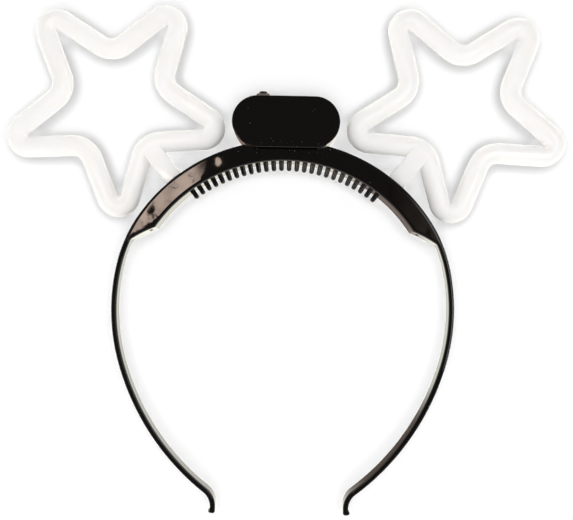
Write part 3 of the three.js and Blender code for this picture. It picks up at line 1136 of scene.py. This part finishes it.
def black_plastic():
    """ABS from a polished mould: deep gloss with a faint ripple, thumb haze and specks of dust."""
    name = "ABS moulded gloss black"
    if name in bpy.data.materials:
        return bpy.data.materials[name]
    colours = bpy.context.scene.headband.finish
    material, tree, shader, place = new_finish(name)
    dust = settled_dust(tree, place)
    haze = noise(tree, place, 16, 4.0)
    ripple = noise(tree, place, 3.5, 2.0)
    set_sockets(tree, shader, {
        "Base Color": mixed(tree, dust, tuple(colours.black), tuple(colours.dust)),
        "Roughness": map_range(tree, haze, (0.35, 0.7), (0.005, 0.03)),
        "Normal": relief(tree, ripple, 0.003),
        "IOR": 1.53,
    })
    return material


def milky_plastic():
    """Milky white polyethylene: light soaks in and softens, and the skin has a wet gloss with slow waves."""
    colours = bpy.context.scene.headband.finish
    material, tree, shader, place = new_finish("Polyethylene moulded milky white")
    cloud = noise(tree, place, 22, 3.0)
    drift = map_range(tree, cloud, (0.35, 0.7), (0.0, 1.0))
    wave = noise(tree, place, 9, 1.0)
    set_sockets(tree, shader, {
        "Base Color": mixed(tree, drift, tuple(colours.milk), tuple(colours.milk_shade)),
        "Roughness": map_range(tree, cloud, (0.3, 0.7), (0.06, 0.12)),
        "Normal": relief(tree, wave, 0.03),
        "IOR": 1.5,
        "Subsurface Weight": 1.0,
        "Subsurface Radius": (1.0, 0.95, 0.92),
        "Subsurface Scale": 7.0 * MM,
    })
    return material


def tinned_steel():
    """Tinned sheet steel, stamped: a dull warm grey metal with fine rolling lines and small dull spots."""
    colours = bpy.context.scene.headband.finish
    material, tree, shader, place = new_finish("Steel sheet tinned and stamped")
    drawn = result(tree, "ShaderNodeMapping", inputs={"Vector": place, "Scale": (0.08, 1.0, 1.0)})
    lines = noise(tree, drawn, 0.12, 3.0)
    spots = noise(tree, place, 0.9, 3.0)
    set_sockets(tree, shader, {
        "Base Color": mixed(tree, spots, tuple(colours.tin), tuple(colours.tin_shade)),
        "Roughness": map_range(tree, lines, (0.3, 0.7), (0.28, 0.45)),
        "Normal": relief(tree, lines, 0.004, 0.6),
        "Metallic": 1.0,
    })
    return material


def black_nylon():
    """Nylon, moulded with a fine spark texture: soft black with no clear reflection."""
    name = "Nylon moulded matt black"
    if name in bpy.data.materials:
        return bpy.data.materials[name]
    colours = bpy.context.scene.headband.finish
    material, tree, shader, place = new_finish(name)
    grain = noise(tree, place, 0.18, 3.0)
    set_sockets(tree, shader, {
        "Base Color": mixed(tree, grain, tuple(colours.nylon), tuple(colours.nylon_shade)),
        "Roughness": map_range(tree, grain, (0.3, 0.7), (0.38, 0.55)),
        "Normal": relief(tree, grain, 0.01, 0.5),
        "IOR": 1.53,
    })
    return material


# Painted light: the floor's painted shade is made lighter inside this round about the crown, and fades to its
# full depth over the reach
PAINTED_LIFT_ROUND = (0.0, ARCH_Y + 20 * MM, 0.0)
PAINTED_LIFT_REACH = (69.5 * MM, 73 * MM)


def painted_shade_floor(stage):
    """White acrylic of a light table: matt, with a glow that thins beside the pieces as painted shade, and is
    painted lighter near the crown.
    """
    colours = bpy.context.scene.headband.finish
    material, tree, shader, place = new_finish("Acrylic cast matt white")
    sky = add_node(tree, "ShaderNodeAmbientOcclusion", {"samples": 16}, {"Distance": stage.painted_shade_reach})
    open_share = sky.outputs["AO"]
    lighter = map_range(tree, vector_maths(tree, "DISTANCE", place, PAINTED_LIFT_ROUND), PAINTED_LIFT_REACH,
                        (stage.painted_crown_lift, 1.0))
    # Painted shade: the glow is full in the open, thins beside a piece, and lifts the deep shade between
    # pieces a little, more so near the crown
    least = maths(tree, "MULTIPLY", lighter, stage.painted_shade_glow)
    beside = map_range(tree, open_share, (0.5, 0.97), (least, stage.table_light))
    most = maths(tree, "MULTIPLY", lighter, stage.painted_shade_lift)
    between = map_range(tree, open_share, (0.2, 0.6), (most, 0.0))
    set_sockets(tree, shader, {
        "Base Color": tuple(colours.acrylic),
        "Roughness": 0.9,
        "Specular IOR Level": 0.1,
        "Normal": relief(tree, noise(tree, place, 0.8, 2.0), 0.01, 0.2),
        "Emission Color": WHITE,
        "Emission Strength": maths(tree, "ADD", beside, between),
    })
    return material


# Stage

FLOOR_HALF = 1.5
SOFTBOX_HEIGHT = 0.55
SOFTBOX_SIZE = 0.55
FILL_PLACE = (0.0, -0.75, 1.35)
FILL_SIZE = 0.9
CARD_HEIGHT = 0.6
PANEL_HEIGHT = 1.0
SHEEN_HEIGHT = 0.05 * MM
CLIP_START = 10 * MM

# Sines of the elevations where the tent's bright band ends and where its dark top begins
TENT_FADE = (math.sin(math.radians(12)), math.sin(math.radians(38)))

# Outlines in millimetres of the cards and the panel that show in the crown, seen from above
CARD = ((-190, 20), (-174, 27), (-162, 33), (-145, 45), (-115, 50), (-98, 80), (-97, 90), (-94, 95),
        (-91, 106), (-100, 128), (-190, 128))
SCRAP = ((-81, 106), (-79, 104), (-75, 105), (-74, 109), (-75, 113), (-78, 114), (-81, 112))
DIM_CARD = ((105, 20), (200, 0), (200, 110), (120, 110))
PANEL = ((330, -200), (470, -200), (470, 250), (330, 250))

# Folds in the cards: middle and half sizes in millimetres, how soft and how dark
WARM_FOLDS = (
    ((-147.5, 58.5), (3.8, 5.8), 0.2, 1.0),
    ((-145, 50.5), (1.7, 4.2), 0.5, 0.8),
    ((-89, 112), (9, 13), 0.9, 0.85),
)
DIM_FOLDS = (((95, 60), (50, 120), 0.7, 1.0),)

# Painted reflections: spots where the floor seen in the gloss is made darker, or lighter, so that the walls
# of the band mirror them: middle and radius in millimetres, and colour
PAINTED_REFLECTION_SPOTS = (
    ((0, 42), 32, "#d6d2c6"),
    ((46, 24), 20, "#7d7069"),
    ((50, -84), 27, "#76685f"),
    ((-21, 50), 7, "#7d6b61"),
    ((-47, 28), 18, "#ece9da"),
)
PAINTED_REFLECTION_EDGE = 0.45


def flat_sheet(name, outline, z, material):
    """A level sheet over an outline."""
    corners = [(x, y, z) for x, y in outline]
    sheet = new_piece(name, corners, [tuple(range(len(corners)))], material)
    return sheet


def square(half):
    """Corners of a square about the origin."""
    return ((-half, -half), (half, -half), (half, half), (-half, half))


def in_metres(outline):
    """An outline given in millimetres, in metres."""
    return [(x * MM, y * MM) for x, y in outline]


def only_in_gloss(sheet):
    """Show a sheet in reflections alone."""
    sheet.visible_camera = False
    sheet.visible_diffuse = False
    sheet.visible_transmission = False
    sheet.visible_shadow = False


def glow(name, tint, strength):
    """A plain glowing material, with its tree, shader and object coordinates."""
    material, tree, shader, place = new_finish(name)
    set_sockets(tree, shader, {
        "Base Color": BLACK,
        "Specular IOR Level": 0.0,
        "Emission Color": tuple(tint),
        "Emission Strength": strength,
    })
    return material, tree, shader, place


def oval(tree, place, middle, half, soft):
    """One inside an oval given in millimetres, zero outside it, with a soft edge."""
    middle, half = in_metres((middle, half))
    apart = vector_maths(tree, "SUBTRACT", place, (*middle, 0.0))
    level = vector_maths(tree, "MULTIPLY", apart, (1.0, 1.0, 0.0))
    far = vector_maths(tree, "LENGTH", vector_maths(tree, "DIVIDE", level, (*half, 1.0)))
    return map_range(tree, far, (1 - soft, 1 + soft), (1.0, 0.0), "SMOOTHSTEP")


def floor_sheen(stage):
    """The floor as the gloss shows it, with painted reflections: darker and lighter spots where the walls of
    the band mirror it.
    """
    material, tree, shader, place = glow("Floor seen in the gloss", stage.sheet, stage.sheet_light)
    tint = tuple(stage.sheet)
    # Each spot paints a darker or lighter reflection into the walls that mirror this place
    for middle, radius, code in PAINTED_REFLECTION_SPOTS:
        painted_spot = oval(tree, place, middle, (radius, radius), PAINTED_REFLECTION_EDGE)
        tint = mixed(tree, painted_spot, tint, hex_to_linear(code))
    tree.links.new(tint, shader.inputs["Emission Color"])
    only_in_gloss(flat_sheet("floor_sheen", square(FLOOR_HALF), SHEEN_HEIGHT, material))


def crumpled_card(name, tint, strength, folds):
    """Crumpled paper: mottled, with sparse fine cracks and dark folds."""
    material, tree, shader, place = glow(name, tint, strength)
    sway = add_node(tree, "ShaderNodeTexNoise", inputs={"Vector": place, "Scale": per(11), "Detail": 2.0})
    wander = vector_maths(tree, "SCALE", sway.outputs["Color"], Scale=9.0 * MM)
    bent = vector_maths(tree, "ADD", place, wander)
    # A crack runs where slow noise passes through its middle value
    from_crack = maths(tree, "ABSOLUTE", maths(tree, "SUBTRACT", noise(tree, bent, 21, 1.0), 0.5))
    crack = map_range(tree, from_crack, (0.004, 0.013), (1.0, 0.0))
    patches = noise(tree, place, 17, 3.0)
    dark = maths(tree, "MULTIPLY", crack, map_range(tree, patches, (0.42, 0.54), (0.0, 0.9)))
    for middle, half, soft, depth in folds:
        fold = oval(tree, bent, middle, half, soft)
        dark = maths(tree, "MAXIMUM", dark, maths(tree, "MULTIPLY", fold, depth))
    mottle = map_range(tree, patches, (0.3, 0.7), (1.25 * strength, 0.7 * strength))
    light = maths(tree, "MULTIPLY", maths(tree, "SUBTRACT", 1.0, dark), mottle)
    tree.links.new(light, shader.inputs["Emission Strength"])
    return material


def gloss_cards(stage):
    """Cards over the crown and a panel beside it, which show in the gloss alone."""
    warm = crumpled_card("Card crumpled warm", stage.card, stage.card_light, WARM_FOLDS)
    dim = crumpled_card("Card crumpled dim", stage.card, stage.dim_light, DIM_FOLDS)
    panel = glow("Panel white", WHITE, stage.panel_light)[0]
    for name, outline, height, material in (
        ("warm_card", CARD, CARD_HEIGHT, warm),
        ("card_scrap", SCRAP, CARD_HEIGHT, warm),
        ("dim_card", DIM_CARD, CARD_HEIGHT, dim),
        ("side_panel", PANEL, PANEL_HEIGHT, panel),
    ):
        only_in_gloss(flat_sheet(name, in_metres(outline), height, material))


def light_tent(stage):
    """A tent that is bright low down and dark above, so that flat black faces stay black from the front."""
    world = bpy.data.worlds.new("Light tent")
    world.use_nodes = True
    tree = world.node_tree
    direction = add_node(tree, "ShaderNodeTexCoord").outputs["Generated"]
    height = add_node(tree, "ShaderNodeSeparateXYZ", inputs={0: direction}).outputs["Z"]
    strength = map_range(tree, height, TENT_FADE, (stage.band_light, stage.top_light), "SMOOTHSTEP")
    set_sockets(tree, tree.nodes["Background"], {"Color": WHITE, "Strength": strength})
    bpy.context.scene.world = world


def soft_lamp(name, place, size, energy):
    """A round soft lamp that faces the middle of the floor and is kept out of the gloss."""
    light = bpy.data.lights.new(name, "AREA")
    light.shape = "DISK"
    light.size = size
    light.energy = energy
    lamp = new_object(name, light)
    lamp.location = place
    lamp.rotation_euler = lamp.location.to_track_quat("Z", "Y").to_euler()
    lamp.visible_glossy = False
    lamp.visible_camera = False
    light.cycles.use_multiple_importance_sampling = False


class HEADBAND_OT_stage(bpy.types.Operator):
    """Set up the floor, the soft light and the camera straight above"""

    bl_idname = "headband.stage"
    bl_label = "Stage"

    def execute(self, context):
        scene = context.scene
        stage = scene.headband.stage
        flat_sheet("floor", square(FLOOR_HALF), 0.0, painted_shade_floor(stage))
        floor_sheen(stage)
        gloss_cards(stage)
        light_tent(stage)
        soft_lamp("softbox", (0.0, 0.0, SOFTBOX_HEIGHT), SOFTBOX_SIZE, stage.softbox_light)
        soft_lamp("fill", FILL_PLACE, FILL_SIZE, stage.fill_light)
        camera = new_object("camera", bpy.data.cameras.new("camera"))
        camera.location = (stage.camera_shift, -stage.camera_drop, stage.camera_height)
        camera.rotation_euler = (0.0, 0.0, stage.camera_roll)
        camera.data.lens = stage.lens
        camera.data.clip_start = CLIP_START
        scene.camera = camera
        scene.view_settings.view_transform = "Standard"
        return {"FINISHED"}


class HEADBAND_PT_pieces(bpy.types.Panel):
    """Lists the pieces of the headband and their sizes"""

    bl_label = "Light-up headband"
    bl_idname = "HEADBAND_PT_pieces"
    bl_space_type = "VIEW_3D"
    bl_region_type = "UI"
    bl_category = "Headband"

    def draw(self, context):
        layout = self.layout
        for operator in OPERATORS:
            layout.operator(operator.bl_idname)
        settings = context.scene.headband
        for name in HeadbandSettings.__annotations__:
            group = getattr(settings, name)
            column = layout.box().column()
            for key in group.__annotations__:
                column.prop(group, key)


GROUPS = (BandSizes, CombSizes, BoxSizes, SwitchSizes, StarSizes, Finishes, StageSettings, HeadbandSettings)
OPERATORS = (
    HEADBAND_OT_stage,
    HEADBAND_OT_band,
    HEADBAND_OT_comb,
    HEADBAND_OT_crown_back,
    HEADBAND_OT_battery_box,
    HEADBAND_OT_switch,
    HEADBAND_OT_stars,
)


def register():
    """Register the settings, the operators and the panel."""
    for item in (*GROUPS, *OPERATORS, HEADBAND_PT_pieces):
        bpy.utils.register_class(item)
    bpy.types.Scene.headband = PointerProperty(type=HeadbandSettings)


def unregister():
    """Take everything that was registered away again."""
    del bpy.types.Scene.headband
    for item in reversed((*GROUPS, *OPERATORS, HEADBAND_PT_pieces)):
        bpy.utils.unregister_class(item)


def main():
    """Build every piece in order."""
    register()
    bpy.ops.headband.stage()
    bpy.ops.headband.band()
    bpy.ops.headband.comb()
    bpy.ops.headband.crown_back()
    bpy.ops.headband.battery_box()
    bpy.ops.headband.switch()
    bpy.ops.headband.stars()


if __name__ == "__main__":
    main()
